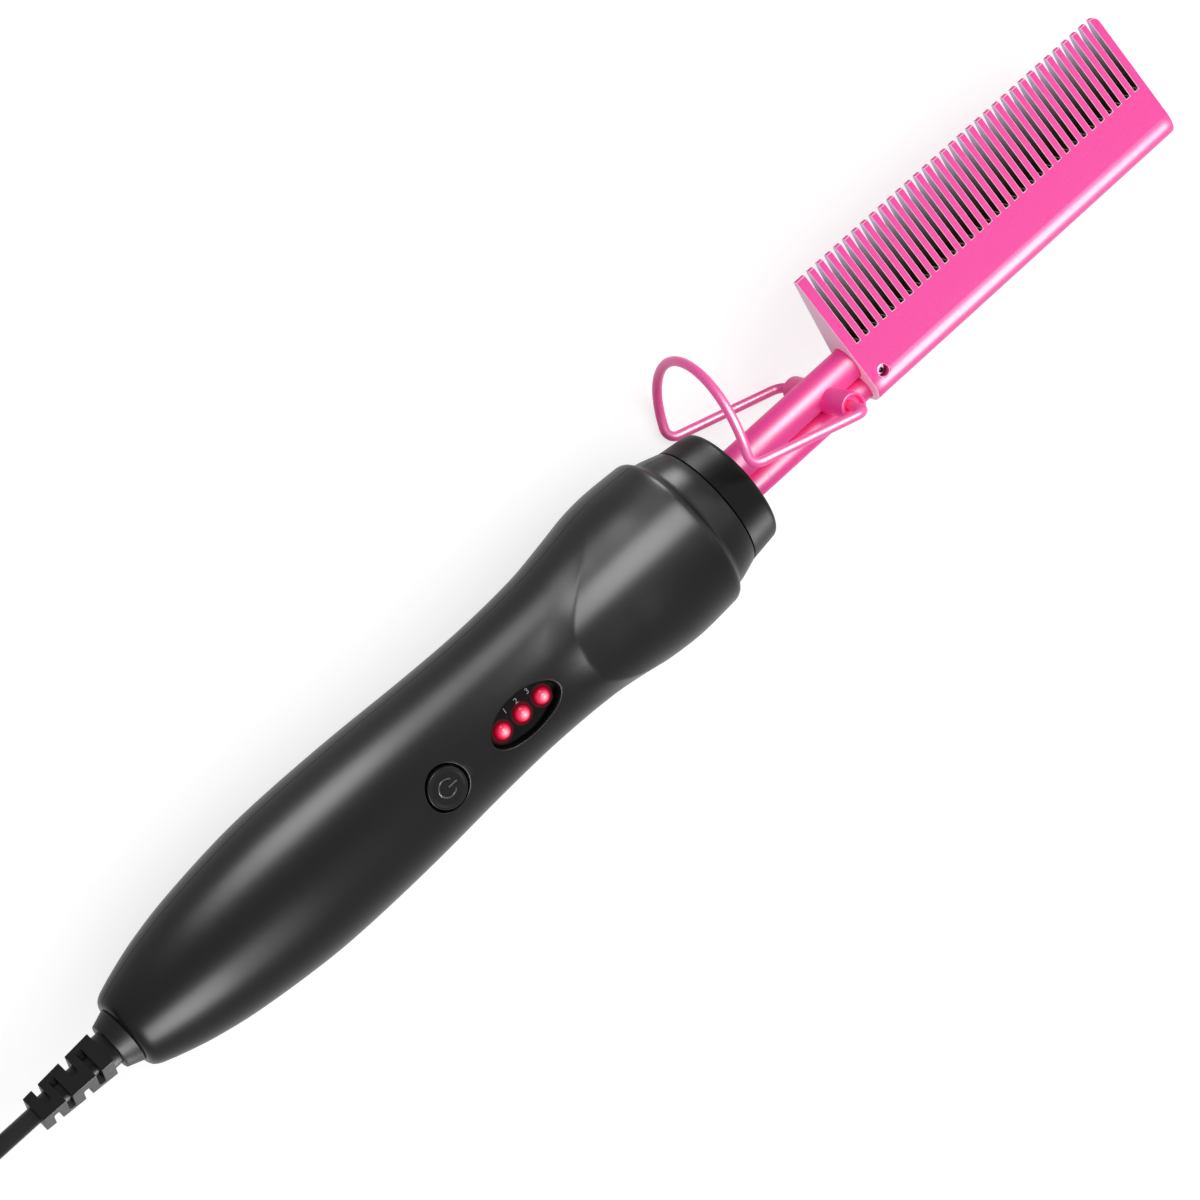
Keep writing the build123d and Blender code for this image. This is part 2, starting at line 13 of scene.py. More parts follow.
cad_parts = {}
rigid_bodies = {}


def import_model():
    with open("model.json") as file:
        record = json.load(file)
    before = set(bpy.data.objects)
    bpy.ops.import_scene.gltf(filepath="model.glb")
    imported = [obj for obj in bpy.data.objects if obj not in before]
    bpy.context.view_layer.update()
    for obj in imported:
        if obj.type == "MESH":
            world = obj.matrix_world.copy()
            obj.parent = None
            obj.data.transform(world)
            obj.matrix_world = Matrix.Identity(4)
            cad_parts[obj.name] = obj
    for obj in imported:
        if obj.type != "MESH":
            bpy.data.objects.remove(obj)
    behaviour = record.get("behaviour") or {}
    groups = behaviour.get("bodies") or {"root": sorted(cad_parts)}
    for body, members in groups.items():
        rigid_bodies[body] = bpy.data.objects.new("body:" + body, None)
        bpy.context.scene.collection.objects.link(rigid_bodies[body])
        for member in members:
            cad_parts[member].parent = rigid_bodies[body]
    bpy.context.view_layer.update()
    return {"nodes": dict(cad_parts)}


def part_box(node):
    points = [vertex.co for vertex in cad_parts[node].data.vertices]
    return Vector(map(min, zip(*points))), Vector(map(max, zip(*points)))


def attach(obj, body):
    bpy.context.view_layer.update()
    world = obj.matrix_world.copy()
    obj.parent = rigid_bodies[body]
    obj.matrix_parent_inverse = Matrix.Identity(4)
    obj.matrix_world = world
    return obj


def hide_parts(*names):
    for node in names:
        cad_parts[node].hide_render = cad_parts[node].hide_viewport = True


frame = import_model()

MM = 0.001
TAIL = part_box("lower_shell")[0].x
collar_low, collar_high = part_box("front_collar")
AXIS_Y = (collar_low.y + collar_high.y) / 2
AXIS_Z = (collar_low.z + collar_high.z) / 2


def at(station, y=0.0, z=0.0):
    """Point in metres, given by its station and its offsets from the handle's axis in mm."""
    return Vector((TAIL + station * MM, AXIS_Y + y * MM, AXIS_Z + z * MM))


def off_axis(point):
    """Station, y and z in mm of a point in metres."""
    return (point.x - TAIL) / MM, (point.y - AXIS_Y) / MM, (point.z - AXIS_Z) / MM


# ------------------------------------------------------------------ camera
scene = bpy.context.scene
scene.view_settings.view_transform = "Standard"
camera_data = bpy.data.cameras.new("camera")
camera = bpy.data.objects.new("camera", camera_data)
scene.collection.objects.link(camera)
camera_place = Vector((-0.25461, 0.42046, 0.87838))
camera_aim = Vector((-0.00327, -0.00462, 0.01775))
camera_roll = radians(110.673)
camera_data.lens = 153.56
camera_data.sensor_width = 36
camera_data.clip_start = 0.01
camera_data.clip_end = 20
camera.location = camera_place
camera.rotation_mode = "QUATERNION"
look = (camera_aim - camera_place).to_track_quat("-Z", "Y")
camera.rotation_quaternion = look @ Quaternion((0, 0, 1), camera_roll)
scene.camera = camera


# ------------------------------------------------------------------ finishes
def paint_colour(code):
    """Linear colour of an sRGB hex value."""
    channels = [int(code[i:i + 2], 16) / 255 for i in (1, 3, 5)]
    linear = [c / 12.92 if c <= 0.04045 else ((c + 0.055) / 1.055) ** 2.4 for c in channels]
    return (*linear, 1)


def new_finish(name):
    """Empty material and its node tree."""
    material = bpy.data.materials.new(name)
    material.use_nodes = True
    material.node_tree.nodes.clear()
    return material, material.node_tree


def add_node(tree, kind, inputs=None, **settings):
    """Adds a node, sets it, and links or fills its inputs."""
    node = tree.nodes.new(kind)
    for key, value in settings.items():
        setattr(node, key, value)
    for socket, value in (inputs or {}).items():
        if isinstance(value, bpy.types.NodeSocket):
            tree.links.new(value, node.inputs[socket])
        else:
            node.inputs[socket].default_value = value
    return node


def grain(tree, size, detail=2.0):
    """Even speckle whose grains are size mm across."""
    place = add_node(tree, "ShaderNodeTexCoord").outputs["Object"]
    return add_node(
        tree, "ShaderNodeTexNoise",
        {"Vector": place, "Scale": 1 / (size * MM), "Detail": detail, "Roughness": 0.6},
    ).outputs["Fac"]


def two_tone(tree, fac, dark, light, low=0.35, high=0.65):
    """Colour between two hex values, by a pattern."""
    ramp = add_node(tree, "ShaderNodeValToRGB", {"Fac": fac})
    ramp.color_ramp.elements[0].position = low
    ramp.color_ramp.elements[0].color = paint_colour(dark)
    ramp.color_ramp.elements[1].position = high
    ramp.color_ramp.elements[1].color = paint_colour(light)
    return ramp.outputs["Color"]


def between(tree, fac, low, high):
    """Number between two values, by a pattern."""
    return add_node(
        tree, "ShaderNodeMapRange",
        {"Value": fac, "From Min": 0.3, "From Max": 0.7, "To Min": low, "To Max": high},
    ).outputs["Result"]


def relief(tree, fac, depth, strength=1.0):
    """Surface relief from a pattern; depth in mm."""
    return add_node(
        tree, "ShaderNodeBump", {"Height": fac, "Distance": depth * MM, "Strength": strength}
    ).outputs["Normal"]


def surface(tree, inputs):
    """Principled shader with these inputs, sent to the material's output."""
    shader = add_node(tree, "ShaderNodeBsdfPrincipled", inputs)
    add_node(tree, "ShaderNodeOutputMaterial", {"Surface": shader.outputs["BSDF"]})
    return shader


def satin_abs(name, dark, light, roughness, grain_size, depth, ior=1.25):
    """Moulded plastic with a spark-eroded satin skin: even, dark, with broad soft highlights.

    The IOR is set below a plastic's usual 1.5, to match the object's low gloss.
    """
    material, tree = new_finish(name)
    speckle = grain(tree, grain_size)
    cloud = grain(tree, grain_size * 60, 1.0)
    surface(tree, {
        "Base Color": two_tone(tree, cloud, dark, light),
        "Roughness": between(tree, speckle, roughness - 0.04, roughness + 0.04),
        "IOR": ior,
        "Normal": relief(tree, speckle, depth),
    })
    return material


def coated_aluminium(name, dark, light, coat, clear=0.32):
    """Pink baked coating on aluminium: fine flakes give a faint speckle under a clear top coat.

    The flakes are drawn 0.3 mm wide, coarser than real ones, so that they show.
    """
    material, tree = new_finish(name)
    speckle = grain(tree, 0.3, 1.0)
    surface(tree, {
        "Base Color": two_tone(tree, speckle, dark, light, 0.3, 0.7),
        "Roughness": between(tree, speckle, 0.42, 0.52),
        "Specular IOR Level": 0.1,
        "Coat Weight": coat,
        "Coat IOR": 1.34,
        "Coat Roughness": clear,
        "Normal": relief(tree, speckle, 0.008),
    })
    return material


def sawn_slot():
    """Wall of a saw cut, with painted shade and light: near-black brown at the root, where the slot
    is shaded, pale grey towards the tip, as if lit from below.
    """
    material, tree = new_finish("sawn_slot_wall")
    place = add_node(tree, "ShaderNodeTexCoord").outputs["Object"]
    y = add_node(tree, "ShaderNodeSeparateXYZ", {0: place}).outputs["Y"]
    # How far up the wall, from root to tip: it blends the painted shade into the painted light.
    share = add_node(tree, "ShaderNodeMapRange", {
        "Value": y, "From Min": at(0, 9).y, "From Max": at(0, 23).y,
    }).outputs["Result"]
    speckle = grain(tree, 0.3, 1.0)
    surface(tree, {
        "Base Color": two_tone(tree, share, "#36200A", "#DCCEE6", 0.15, 0.95),
        "Metallic": 0.2,
        "Roughness": between(tree, speckle, 0.4, 0.55),
    })
    return material


def lit_lamp(station):
    """Diffused red lamp dome, lit: pale in the middle, deep red at its foot."""
    material, tree = new_finish(f"lit_lamp_{station:.0f}")
    place = add_node(tree, "ShaderNodeTexCoord").outputs["Object"]
    moved = add_node(tree, "ShaderNodeVectorMath", {0: place, 1: at(station)}, operation="SUBTRACT")
    reach = add_node(tree, "ShaderNodeVectorMath", {
        0: moved.outputs[0], 1: (1, 1, 0),
    }, operation="MULTIPLY")
    length = add_node(tree, "ShaderNodeVectorMath", {0: reach.outputs[0]}, operation="LENGTH")
    scaled = add_node(tree, "ShaderNodeMath", {
        0: length.outputs["Value"], 1: 1 / (lamp_radius * MM),
    }, operation="MULTIPLY")
    ramp = add_node(tree, "ShaderNodeValToRGB", {"Fac": scaled.outputs[0]})
    ramp.color_ramp.elements[0].position = 0.0
    ramp.color_ramp.elements[0].color = paint_colour("#FFE9EE")
    ramp.color_ramp.elements[1].position = 1.0
    ramp.color_ramp.elements[1].color = paint_colour("#4A0410")
    for position, colour in ((0.3, "#FF8FA8"), (0.55, "#FF2C5C"), (0.82, "#C80C36")):
        ramp.color_ramp.elements.new(position).color = paint_colour(colour)
    surface(tree, {
        "Base Color": paint_colour("#38040E"),
        "Roughness": 0.3,
        "IOR": 1.4,
        "Emission Color": ramp.outputs["Color"],
        "Emission Strength": 1.0,
    })
    return material


def glowing_window():
    """Smoked acrylic, with the lamps' red light painted on it: a dim ring of emission round each
    lamp.
    """
    material, tree = new_finish("smoked_acrylic")
    place = add_node(tree, "ShaderNodeTexCoord").outputs["Object"]
    moved = add_node(tree, "ShaderNodeVectorMath", {
        0: place, 1: at(window_station),
    }, operation="SUBTRACT").outputs[0]
    axes = add_node(tree, "ShaderNodeSeparateXYZ", {0: moved})
    nearest = add_node(tree, "ShaderNodeMath", {
        0: axes.outputs["X"], 1: lamp_pitch * MM,
    }, operation="DIVIDE")
    for step, limit in (("ROUND", 0), ("MAXIMUM", -1), ("MINIMUM", 1)):
        nearest = add_node(tree, "ShaderNodeMath", {
            0: nearest.outputs[0], 1: limit,
        }, operation=step)
    along = add_node(tree, "ShaderNodeMath", {
        0: nearest.outputs[0], 1: -lamp_pitch * MM, 2: axes.outputs["X"],
    }, operation="MULTIPLY_ADD")
    flat = add_node(tree, "ShaderNodeCombineXYZ", {"X": along.outputs[0], "Y": axes.outputs["Y"]})
    reach = add_node(tree, "ShaderNodeVectorMath", {0: flat.outputs[0]}, operation="LENGTH")
    # Painted light: the red glow spreading from each lamp into the acrylic, drawn as emission.
    glow = add_node(tree, "ShaderNodeMapRange", {
        "Value": reach.outputs["Value"], "From Min": 1.7 * MM, "From Max": 2.6 * MM,
        "To Min": 1.0, "To Max": 0.0,
    }, interpolation_type="SMOOTHSTEP").outputs["Result"]
    dimmed = add_node(tree, "ShaderNodeMath", {0: glow, 1: 0.4}, operation="MULTIPLY")
    surface(tree, {
        "Base Color": paint_colour("#050506"),
        "Roughness": 0.18,
        "IOR": 1.22,
        "Emission Color": paint_colour("#A00820"),
        "Emission Strength": dimmed.outputs[0],
    })
    return material


def plain_finish(name, dark, light, roughness, metallic=0.0, grain_size=0.4, depth=0.004, **extra):
    """Finish of an inner piece: two close tones, its own grain and a faint relief."""
    material, tree = new_finish(name)
    speckle = grain(tree, grain_size)
    surface(tree, {
        "Base Color": two_tone(tree, speckle, dark, light),
        "Metallic": metallic,
        "Roughness": between(tree, speckle, roughness - 0.05, roughness + 0.05),
        "Normal": relief(tree, speckle, depth),
        **extra,
    })
    return material


handle_satin = satin_abs("satin_moulded_abs", "#101011", "#121213", 0.34, 0.18, 0.003)
collar_satin = satin_abs("heat_resistant_nylon", "#060607", "#09090A", 0.38, 0.15, 0.003, 1.2)
cord_vinyl = satin_abs("soft_vinyl", "#0A0A0B", "#0F0F10", 0.36, 0.25, 0.006, 1.36)
relief_vinyl = satin_abs("textured_vinyl", "#050506", "#0A0A0B", 0.42, 0.3, 0.02, 1.3)
# Painted highlight: the raised power sign is a lighter grey than its cap, for the glints on its
# raised edges.
sign_glint_paint = plain_finish("raised_sign_satin", "#3A3A3C", "#444446", 0.3)
button_satin = satin_abs("satin_button_abs", "#161617", "#1B1B1C", 0.36, 0.15, 0.003)
pink_coat = coated_aluminium("pink_baked_coating", "#FC36A0", "#FF44AA", 0.6)
pink_wire = coated_aluminium("pink_coated_spring_wire", "#FF50A4", "#FF66B2", 1.0, 0.36)
# Painted highlight: the comb's bevelled edges are coloured pale, as if they caught the light.
edge_highlight_paint = plain_finish("edge_with_thin_coat", "#FFDCEC", "#FFEAF4", 0.35, 0.1, 0.3, 0.0)
# Painted sheen: the comb's near end face is coloured pale pink-white, as if it mirrored white light
# and were lit more than its side.
end_face_sheen_paint = plain_finish("sawn_end_face", "#FFDAF0", "#FFE6F6", 0.5, 0.1, 0.3)
pink_tube = coated_aluminium("pink_coated_tube", "#FF329A", "#FF40A4", 1.0, 0.44)
slot_wall = sawn_slot()
pale_print = plain_finish("pale_pad_print", "#8C8C8E", "#9A9A9C", 0.5)
blade_brass = plain_finish("rolled_brass", "#B58E4A", "#C9A35C", 0.25, 1.0, 0.3, 0.002)
inner_finishes = {
    "board_screws": plain_finish("zinc_plated_steel", "#B9BABC", "#D2D3D5", 0.3, 1.0),
    "circuit_board": plain_finish("solder_masked_glass_fibre", "#0C4A26", "#125C30", 0.35),
    "capacitor": plain_finish("epoxy_capacitor_case", "#A8A294", "#B6B0A2", 0.5),
    "triac": plain_finish("moulded_epoxy", "#151516", "#1E1E20", 0.55),
    "fuse": plain_finish("fuse_glass", "#C8D2D2", "#DDE4E4", 0.1),
    "tact_switch": plain_finish("switch_nylon", "#1A1A1B", "#202022", 0.5),
    "switch_plunger": plain_finish("plunger_acetal", "#2A2A2C", "#333336", 0.4),
    "heating_element": plain_finish("fired_alumina", "#DEDACC", "#EAE6DA", 0.7),
    "temperature_sensor": plain_finish("bead_glass", "#9A6A3A", "#B07C48", 0.2),
    "heater_leads": plain_finish("ptfe_insulation", "#DCDCD8", "#EAEAE6", 0.4),
    "mains_leads": plain_finish("pvc_insulation", "#5A2A1A", "#683220", 0.45),
    "cord_clamp": plain_finish("clamp_nylon", "#1E1E20", "#262628", 0.5),
    "cord_sheath": cord_vinyl,
    # Painted shade: the set screw is coloured dark pinkish brown, for the shade deep in its hole.
    "comb_screw": plain_finish("blackened_set_screw", "#5A2C44", "#6E3A54", 0.35, 0.6),
}
for shared in ("clamp_screws", "shell_screws"):
    inner_finishes[shared] = inner_finishes["board_screws"]


# The inner pieces keep their CAD meshes and get their own finishes.
for node, material in inner_finishes.items():
    mesh = frame["nodes"][node].data
    mesh.materials.clear()
    mesh.materials.append(material)


# ------------------------------------------------------------------ modelling helpers
def take(piece):
    """Selects one piece alone and makes it active."""
    bpy.ops.object.select_all(action="DESELECT")
    piece.select_set(True)
    bpy.context.view_layer.objects.active = piece


def edit(piece, mode="EDGE"):
    """Opens one piece in edit mode with nothing selected."""
    take(piece)
    bpy.ops.object.mode_set(mode="EDIT")
    bpy.ops.mesh.select_mode(type=mode)
    bpy.ops.mesh.select_all(action="DESELECT")


def done():
    """Closes edit mode."""
    bpy.ops.object.mode_set(mode="OBJECT")


def seat(piece, name):
    """Names a piece and puts its place, turn and size into its mesh."""
    piece.name = name
    piece.data.name = name
    take(piece)
    bpy.ops.object.transform_apply(location=True, rotation=True, scale=True)
    return piece


def apply_modifier(piece, kind, **settings):
    """Adds a modifier with its settings and applies it."""
    take(piece)
    modifier = piece.modifiers.new(kind.lower(), kind)
    for key, value in settings.items():
        setattr(modifier, key, value)
    bpy.ops.object.modifier_apply(modifier=modifier.name)


def cut(piece, *cutters, operation="DIFFERENCE"):
    """Takes cutters away from a piece, or joins them to it, and deletes them."""
    for cutter in cutters:
        apply_modifier(piece, "BOOLEAN", object=cutter, operation=operation, solver="EXACT")
        bpy.data.objects.remove(cutter)
    return piece


def soften(piece, width, segments=2, angle=30, finish=-1, clamp=True):
    """Rounds a piece's sharp edges; width in mm; finish picks the edges' own material."""
    apply_modifier(
        piece, "BEVEL", width=width * MM, segments=segments, limit_method="ANGLE",
        angle_limit=radians(angle), use_clamp_overlap=clamp, material=finish,
    )
    return piece


def smooth(piece, angle=35):
    """Shades a piece smooth, except over edges sharper than the angle."""
    take(piece)
    bpy.ops.object.shade_smooth_by_angle(angle=radians(angle))
    return piece


def flatten(piece, least):
    """Keeps a piece's large faces plane; least is the smallest such face, in square mm."""
    for face in piece.data.polygons:
        if face.area > least * MM * MM:
            face.use_smooth = False
    return piece


def close_up(piece, distance=0.002):
    """Merges doubles and turns every face outwards."""
    edit(piece)
    bpy.ops.mesh.select_all(action="SELECT")
    bpy.ops.mesh.remove_doubles(threshold=distance * MM)
    bpy.ops.mesh.normals_make_consistent(inside=False)
    done()
    return piece


def copy_of(piece, name):
    """Copy of a piece with its own mesh."""
    twin = piece.copy()
    twin.data = piece.data.copy()
    scene.collection.objects.link(twin)
    twin.name = name
    return twin


def rod(radius, length, start, direction="X", vertices=64):
    """Plain round bar along X, Y or Z from a start point in metres; sizes in mm."""
    turn = {"X": (0, pi / 2, 0), "Y": (-pi / 2, 0, 0), "Z": (0, 0, 0)}[direction]
    step = {"X": Vector((1, 0, 0)), "Y": Vector((0, 1, 0)), "Z": Vector((0, 0, 1))}[direction]
    bpy.ops.object.select_all(action="DESELECT")
    bpy.ops.mesh.primitive_cylinder_add(
        vertices=vertices, radius=radius * MM, depth=abs(length) * MM, rotation=turn,
        location=start + step * (length * MM / 2),
    )
    return seat(bpy.context.active_object, "rod")


def block(size, centre):
    """Box with its size in mm and its centre in metres."""
    bpy.ops.object.select_all(action="DESELECT")
    bpy.ops.mesh.primitive_cube_add(size=1, location=centre)
    piece = bpy.context.active_object
    piece.scale = Vector(size) * MM
    return seat(piece, "block")


def curve_through(name, points, kind="POLY", radius=0, sides=4):
    """Curve through the points, in metres; a radius, in mm, makes it a closed round bar."""
    curve = bpy.data.curves.new(name, "CURVE")
    curve.dimensions = "3D"
    if radius:
        curve.bevel_depth = radius * MM
        curve.bevel_resolution = sides
        curve.use_fill_caps = True
    spline = curve.splines.new(kind)
    spline.points.add(len(points) - 1)
    for point, place in zip(spline.points, points):
        point.co = (*place, 1)
    piece = bpy.data.objects.new(name, curve)
    scene.collection.objects.link(piece)
    return piece


def as_mesh(piece):
    """Turns a curve or a text into a mesh."""
    take(piece)
    bpy.ops.object.convert(target="MESH")
    return bpy.context.active_object


def spun(name, points, centre, axis, steps):
    """Spins a line of points, in metres, a whole turn."""
    piece = as_mesh(curve_through(name, points))
    edit(piece)
    bpy.ops.mesh.select_all(action="SELECT")
    bpy.ops.mesh.spin(steps=steps, angle=2 * pi, center=centre, axis=axis)
    done()
    return close_up(seat(piece, name))


def turned(name, outline, steps=128):
    """Spins a closed (station, radius) outline round the handle's axis."""
    return spun(name, [at(s, 0, r) for s, r in outline], at(0), (1, 0, 0), steps)


def turned_upright(name, outline, station, steps=64):
    """Spins a closed (radius, height) outline round an upright line at a station."""
    points = [at(station + r, 0, z) for r, z in outline]
    return spun(name, points, at(station), (0, 0, 1), steps)


def arc(centre, radius, start, end, count):
    """Points of an arc in the plane of an outline; angles in degrees."""
    angles = [radians(start + (end - start) * i / count) for i in range(count + 1)]
    return [(centre[0] + radius * cos(a), centre[1] + radius * sin(a)) for a in angles]


def wire_mesh(name, points, radius, sides=4):
    """Round wire through the points, in metres; radius in mm."""
    piece = as_mesh(curve_through(name, points, "POLY", radius, sides))
    return close_up(seat(piece, name), 0.0005)


def show(piece, body, slot, material, *nodes):
    """Gives a finished piece its finish, its body and the CAD nodes that it stands for."""
    if not piece.data.materials:
        piece.data.materials.append(material)
    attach(piece, body)
    if nodes:
        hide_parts(*nodes)
    return piece


# ------------------------------------------------------------------ handle
grip_points = [
    (2.8, 9.15), (5.4, 10.05), (12.3, 12.0), (22.0, 13.85), (38.0, 15.55), (50.0, 15.92),
    (67.0, 15.6), (86.0, 14.7), (100.3, 14.4), (114.5, 15.0), (124.0, 16.35), (130.5, 17.4),
    (136.5, 17.75), (145.0, 17.38),
]
tail_corner = [(0, 0), (0, 6.7), (0.1, 7.3), (0.45, 7.9), (1.1, 8.42), (1.9, 8.82)]
rim_and_cove = [
    (145.7, 17.22), (146.2, 16.95), (146.6, 16.5), (146.9, 15.95), (147.3, 15.6), (147.9, 15.42),
    (149.0, 15.2), (151.0, 14.6), (152.9, 13.98), (153.1, 13.86), (153.2, 13.7), (153.2, 0),
]
tongue_rise = 0.85
tongue_fade = (112.0, 132.0)
# Station of the tongue's edge by the turn from the top of the handle, in degrees.
tongue_edge = [(0, 111.5), (20, 112.6), (32, 115.2), (45, 119.4), (60, 125.5), (96, 135.0)]
tongue_ramp = 8.0
wall = 2.0


def through(points, x):
    """Height at x of the smooth curve through the points."""
    last = len(points) - 1
    slopes = []
    for i in range(last + 1):
        (x0, y0), (x1, y1) = points[max(i - 1, 0)], points[min(i + 1, last)]
        slopes.append((y1 - y0) / (x1 - x0))
    for (x0, y0), (x1, y1), m0, m1 in zip(points, points[1:], slopes, slopes[1:]):
        if x <= x1:
            break
    run = x1 - x0
    t = min(max((x - x0) / run, 0), 1)
    return (
        y0 * (1 + 2 * t) * (1 - t) ** 2 + m0 * run * t * (1 - t) ** 2
        + y1 * t * t * (3 - 2 * t) + m1 * run * t * t * (t - 1)
    )


def skin_radius(station, turn):
    """Radius of the handle's skin, with the tongue that rises in a ramp on its button side."""
    radius = through(grip_points, station)
    if abs(turn) > tongue_edge[-1][0]:
        return radius
    edge = through(tongue_edge, abs(turn))
    fade = (max(station, edge) - tongue_fade[0]) / (tongue_fade[1] - tongue_fade[0])
    fade = min(max(fade, 0), 1)
    rise = tongue_rise * (1 - fade * fade * (3 - 2 * fade))
    share = min(max((station - edge) / tongue_ramp + 1, 0), 1)
    return radius + rise * share * share


def stations(start, end, step):
    """Even values from start to end, about a step apart."""
    count = round((end - start) / step)
    return [start + (end - start) * i / count for i in range(count + 1)]


def handle_skin():
    """The handle's outer form: turned, with the tongue raised out of it."""
    rows = stations(2.8, 102, 1.6)[:-1] + stations(102, 136, 0.4) + stations(136, 145, 1.0)[1:]
    outline = tail_corner + [(s, through(grip_points, s)) for s in rows] + rim_and_cove
    form = turned("handle_form", outline, 240)
    for vertex in form.data.vertices:
        s, y, z = off_axis(vertex.co)
        radius = hypot(y, z)
        if 102 < s < 136 and radius > 12:
            scale = skin_radius(s, degrees(atan2(y, z))) / radius
            vertex.co = at(s, y * scale, z * scale)
    return form


def skin_height(station, y):
    """Height of the skin above the axis."""
    return sqrt(through(grip_points, station) ** 2 - y * y)


def lipped_cutter(station, half_length, half_width, floor, lip=0.35, count=96):
    """Cutter for an oval opening in the roof, whose mouth has a small rounded lip."""
    rings = [(lip + 1.2, 3.0), (lip + 0.06, 0.04)]
    rings += [(lip * (1 - sin(a)), -lip * (1 - cos(a))) for a in (0.35, 0.7, 1.05, 1.4, pi / 2)]
    bpy.ops.object.select_all(action="DESELECT")
    bpy.ops.mesh.primitive_circle_add(
        vertices=count, radius=1, fill_type="NGON", location=(0, 0, 0),
    )
    piece = bpy.context.active_object
    bpy.ops.object.mode_set(mode="EDIT")
    for _ in range(len(rings)):
        bpy.ops.mesh.select_mode(type="FACE")
        bpy.ops.mesh.extrude_region_move(TRANSFORM_OT_translate={"value": (0, 0, -1)})
    done()
    for vertex in piece.data.vertices:
        level = round(-vertex.co.z)
        angle = atan2(vertex.co.y, vertex.co.x)
        grow, drop = rings[level] if level < len(rings) else (0, None)
        x = (half_length + grow) * cos(angle)
        y = (half_width + grow) * sin(angle)
        z = floor if drop is None else skin_height(station + x, y) + drop
        vertex.co = at(station + x, y, z)
    return close_up(seat(piece, "cutter"), 0.0001)


button_station = 74.8
button_hole = 4.75
window_station = 95.7
window_half_length = 8.65
window_half_width = 4.5
opening_floor = 9.0
shell_screw_stations = (44.0, 133.5)
screw_post_radius = 4.4
screw_well_radius = 2.8
bush_hole = 4.4
half_seam_gap = 0.07


def make_handle():
    """Hollow form with its openings, split at the seam; the lower shell gets its screw posts."""
    form = handle_skin()
    hollow = [(2, 0), (2, 5.5), (5, 7.9)]
    hollow += [(s, through(grip_points, s) - wall) for s in stations(6, 145, 2.5)]
    hollow += [(147.2, 12.0), (154, 12.0), (154, 0)]
    cut(form, turned("hollow", hollow, 96))
    cut(form, lipped_cutter(button_station, button_hole, button_hole, opening_floor))
    cut(form, lipped_cutter(
        window_station, window_half_length, window_half_width, opening_floor, 0.3, 128,
    ))
    cut(form, rod(bush_hole, 6, at(-1), "X", 64))
    lower = copy_of(form, "handle_lower_shell")
    for shell, side in ((form, 1), (lower, -1)):
        cut(shell, block((200, 60, 30), at(75, 0, side * (half_seam_gap - 15))))
    for station in shell_screw_stations:
        cut(lower, rod(screw_post_radius, 9, at(station, 0, -15.2), "Z", 48), operation="UNION")
        cut(lower, rod(screw_well_radius, 12, at(station, 0, -21.5), "Z", 48))
    form.name = "handle_upper_shell"
    for shell, node in ((form, "upper_shell"), (lower, "lower_shell")):
        show(smooth(shell, 40), "handle", "handle_black", handle_satin, node)


# ------------------------------------------------------------------ collar, insulator, cord bush
def make_collar():
    """Ring that plugs into the handle's mouth and tapers a little to the front."""
    front = 160.6
    outline = [(146.7, 10.3), (146.7, 11.85), (153.3, 11.85), (153.3, 13.62), (153.45, 13.83)]
    outline += [(s, 13.83 - 0.125 * (s - 153.45)) for s in stations(154.5, 159.2, 1.2)]
    outline += arc((front - 1.3, 11.78), 1.3, 80, 0, 8)
    outline += [(front, 9.0), (front - 0.4, 8.6), (front - 3, 8.6), (front - 3, 10.3)]
    outline += [(146.7, 10.3)]
    collar = turned("front_collar_ring", outline, 192)
    show(smooth(collar, 40), "handle", "collar_black", collar_satin, "front_collar")


stem_height = 2.5
sensor_height = -3.7
stem_radius = 3.6
sensor_radius = 2.55
tube_start = 146
tube_wall = 0.6
tube_fit = 0.05


def make_insulator():
    """Stepped plug in the collar, bored for both tubes."""
    outline = [(152.6, 0), (152.6, 10.2), (157.5, 10.2), (157.5, 8.5), (159.5, 8.5)]
    outline += [(159.8, 8.2), (159.8, 0)]
    plug = turned("heat_insulator_plug", outline, 96)
    cut(plug, rod(stem_radius + tube_fit, 12, at(150, stem_height)))
    cut(plug, rod(sensor_radius + tube_fit, 12, at(150, sensor_height)))
    show(smooth(soften(plug, 0.15), 40), "handle", "insulator", collar_satin, "heat_insulator")


def make_bush():
    """Cone between the handle's tail and the strain relief, with a groove that the tail holds."""
    outline = [(3.7, 3.7), (3.7, 5.35), (2.1, 5.35), (2.1, 4.34), (0, 4.34), (0, 6.1), (-0.2, 6.2)]
    outline += [(-3.2, 5.12)] + arc((-3.2, 4.72), 0.4, 90, 180, 5) + [(-3.6, 3.7), (3.7, 3.7)]
    bush = turned("cord_bush_cone", outline, 96)
    show(smooth(bush, 40), "handle", "collar_black", relief_vinyl, "cord_bush")


# ------------------------------------------------------------------ button, window, lamps
button_radius = 4.3
sign_height = 14.87


